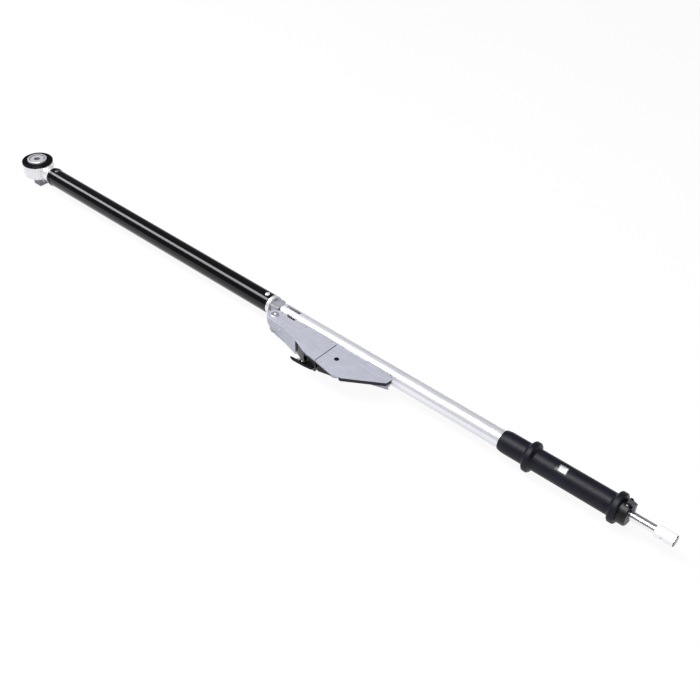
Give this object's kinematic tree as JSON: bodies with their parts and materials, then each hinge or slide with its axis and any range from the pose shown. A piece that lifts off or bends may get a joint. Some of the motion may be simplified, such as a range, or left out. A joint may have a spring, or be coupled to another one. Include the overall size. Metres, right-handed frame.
{
  "type": "torque wrench",
  "caption": "Long breaking torque wrench with a ratchet head, a square drive, a folding fulcrum housing, a set-point adjuster and a flanged grip.",
  "frame": {"origin": "on the axis of the square drive, at the height of the tubes' centre line", "axes": "+X runs along the wrench from the drive to the adjuster, +Z is the cover ring's side and the drive square points along -Z, +Y is the side away from the fulcrum housing"},
  "size_m": [1.4297, 0.1059, 0.0608],
  "materials": {
    "satin_steel": "satin machined and polished steel",
    "chrome": "polished plated tube",
    "plate_steel": "satin nickel-plated plate",
    "black_enamel": "deep gloss black enamel",
    "black_oxide": "semi-matt black oxide",
    "grip_plastic": "moulded dark blue-grey grip",
    "black_plastic": "moulded black plastic",
    "spring_steel": "oiled spring steel",
    "bronze": "sintered bronze",
    "scale_white": "white scale",
    "clear_lens": "clear window",
    "bearing_steel": "ground bearing steel"
  },
  "bodies": {
    "handle": {"top_plate": "plate_steel", "rear_cover": "plate_steel", "bottom_plate": "plate_steel", "side_wall": "plate_steel", "tube_spines": "plate_steel", "cover_trim": "black_plastic", "rear_spacer": "black_oxide", "housing_screws": "satin_steel", "fulcrum_pin": "bearing_steel", "fulcrum_clip": "spring_steel", "crank_pin": "black_oxide", "crank_washers": "bronze", "rear_tube": "chrome", "rod_guide": "bronze", "thrust_washers": "bearing_steel", "thrust_balls": "bearing_steel", "end_plug": "satin_steel", "plug_screws": "black_oxide", "grip": "grip_plastic", "scale_window": "clear_lens", "end_cap": "black_plastic", "cap_screws": "satin_steel", "lock_pin": "bearing_steel", "main_spring": "spring_steel"},
    "front_lever": {"lever_tail": "black_oxide", "fulcrum_bush": "bronze", "tail_roller_pin": "bearing_steel", "tail_hook": "black_oxide", "hook_spring_pin": "bearing_steel", "rear_collar": "satin_steel", "front_tube": "black_enamel", "tube_rivets": "satin_steel", "front_ferrule": "black_enamel", "ratchet_head": "satin_steel", "cover_ring": "black_oxide", "pawl_pin": "bearing_steel", "pawl_spring": "spring_steel"},
    "tail_roller": {"tail_roller": "bearing_steel"},
    "drive": {"ratchet_gear": "satin_steel", "square_drive": "spring_steel", "hub_cap": "satin_steel", "hub_clip": "spring_steel", "button_spring": "spring_steel"},
    "release_button": {"release_button": "black_oxide"},
    "retaining_ball": {"retaining_ball": "bearing_steel"},
    "pawl": {"pawl": "spring_steel"},
    "bell_crank": {"bell_crank": "black_oxide", "crank_bush": "bronze", "rod_roller_pin": "bearing_steel"},
    "rod_roller": {"rod_roller": "bearing_steel"},
    "push_rod": {"push_rod": "bearing_steel", "front_spring_seat": "satin_steel"},
    "setting_nut": {"adjuster_nut": "bronze", "rear_spring_seat": "satin_steel", "scale_sleeve": "scale_white", "scale_card": "scale_white"},
    "adjuster": {"adjuster_screw": "chrome", "adjuster_hex": "chrome", "hex_pin": "bearing_steel"},
    "lock_lever": {"lock_lever": "satin_steel"}
  },
  "joints": [
    {"name": "break_hinge", "type": "hinge", "parent": "handle", "child": "front_lever", "pos_m": [0.69, -0.031, 0], "axis": [0, 0, 1], "range_deg": [0, 6], "stiffness_Nm_per_rad": 120, "springref_deg": -4.58},
    {"name": "crank_turn", "type": "hinge", "parent": "handle", "child": "bell_crank", "pos_m": [0.838, -0.045, 0], "axis": [0, 0, -1], "range_deg": [0, 19.4]},
    {"name": "rod_slide", "type": "slide", "parent": "handle", "child": "push_rod", "axis": [1, 0, 0], "range_m": [0, 0.01461], "deforming": ["main_spring"]},
    {"name": "tail_roller_spin", "type": "hinge", "parent": "front_lever", "child": "tail_roller", "pos_m": [0.8, -0.0576, 0], "axis": [0, 0, 1], "continuous": true},
    {"name": "rod_roller_spin", "type": "hinge", "parent": "bell_crank", "child": "rod_roller", "pos_m": [0.838, -0.002, 0], "axis": [0, 0, 1], "continuous": true},
    {"name": "drive_turn", "type": "hinge", "parent": "front_lever", "child": "drive", "pos_m": [0, 0, 0], "axis": [0, 0, 1], "continuous": true},
    {"name": "button_press", "type": "slide", "parent": "drive", "child": "release_button", "axis": [0, 0, -1], "range_m": [0, 0.0025], "stiffness_N_per_m": 600, "springref_m": -0.002, "deforming": ["button_spring"]},
    {"name": "ball_slide", "type": "slide", "parent": "drive", "child": "retaining_ball", "axis": [-1, 0, 0], "range_m": [0, 0.0011]},
    {"name": "pawl_pivot", "type": "hinge", "parent": "front_lever", "child": "pawl", "pos_m": [0.0222, -0.0106, 0], "axis": [0, 0, -1], "range_deg": [0, 7], "stiffness_Nm_per_rad": 0.02, "springref_deg": -17.19, "deforming": ["pawl_spring"]},
    {"name": "adjuster_turn", "type": "hinge", "parent": "handle", "child": "adjuster", "pos_m": [1.3, 0, 0], "axis": [1, 0, 0], "range_deg": [-1080, 1080]},
    {"name": "nut_slide", "type": "slide", "parent": "handle", "child": "setting_nut", "axis": [1, 0, 0], "range_m": [-0.012, 0.012], "deforming": ["main_spring"]},
    {"name": "lock_pivot", "type": "hinge", "parent": "handle", "child": "lock_lever", "pos_m": [1.326, 0, 0.02], "axis": [0, -1, 0], "range_deg": [0, 40]}
  ],
  "couplings": [
    {"joint": "crank_turn", "follows": "break_hinge", "ratio": 3.2},
    {"joint": "rod_slide", "follows": "break_hinge", "m_per_rad": 0.1376},
    {"joint": "nut_slide", "follows": "adjuster_turn", "m_per_rad": 0.00063662},
    {"joint": "ball_slide", "follows": "button_press", "ratio": 0.44}
  ]
}
